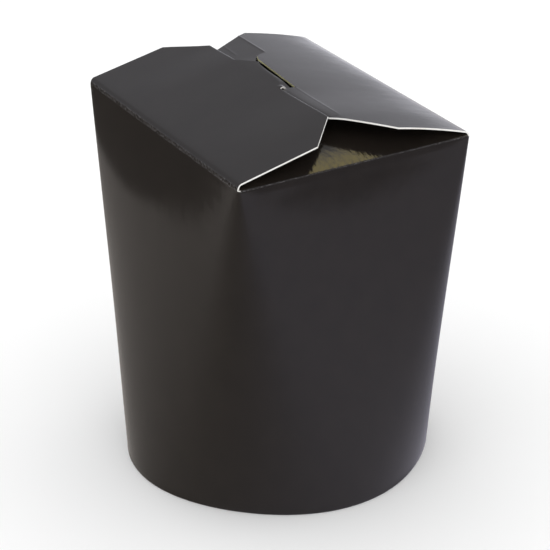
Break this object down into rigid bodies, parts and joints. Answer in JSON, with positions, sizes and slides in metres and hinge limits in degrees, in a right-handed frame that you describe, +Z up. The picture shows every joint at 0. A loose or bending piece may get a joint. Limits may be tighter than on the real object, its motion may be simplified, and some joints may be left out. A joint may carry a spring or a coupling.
{
  "type": "noodle takeaway box",
  "caption": "Black gloss board noodle takeaway box with a round base, an oblong rim and folded lid flaps locked shut by a tab in a slot.",
  "frame": {"origin": "centre of the base, on the surface that the box stands on", "axes": "+Z up the box, +X towards the hinge of the slotted flap, -X towards the hinge of the tabbed flap, -Y towards the open gable end that faces the viewer"},
  "size_m": [0.0934, 0.0934, 0.1164],
  "materials": {
    "carton_board": "gloss coated black board with pale cut edges",
    "base_board": "satin black board"
  },
  "bodies": {
    "root": {"carton": "carton_board", "base_disc": "base_board"}
  },
  "joints": []
}
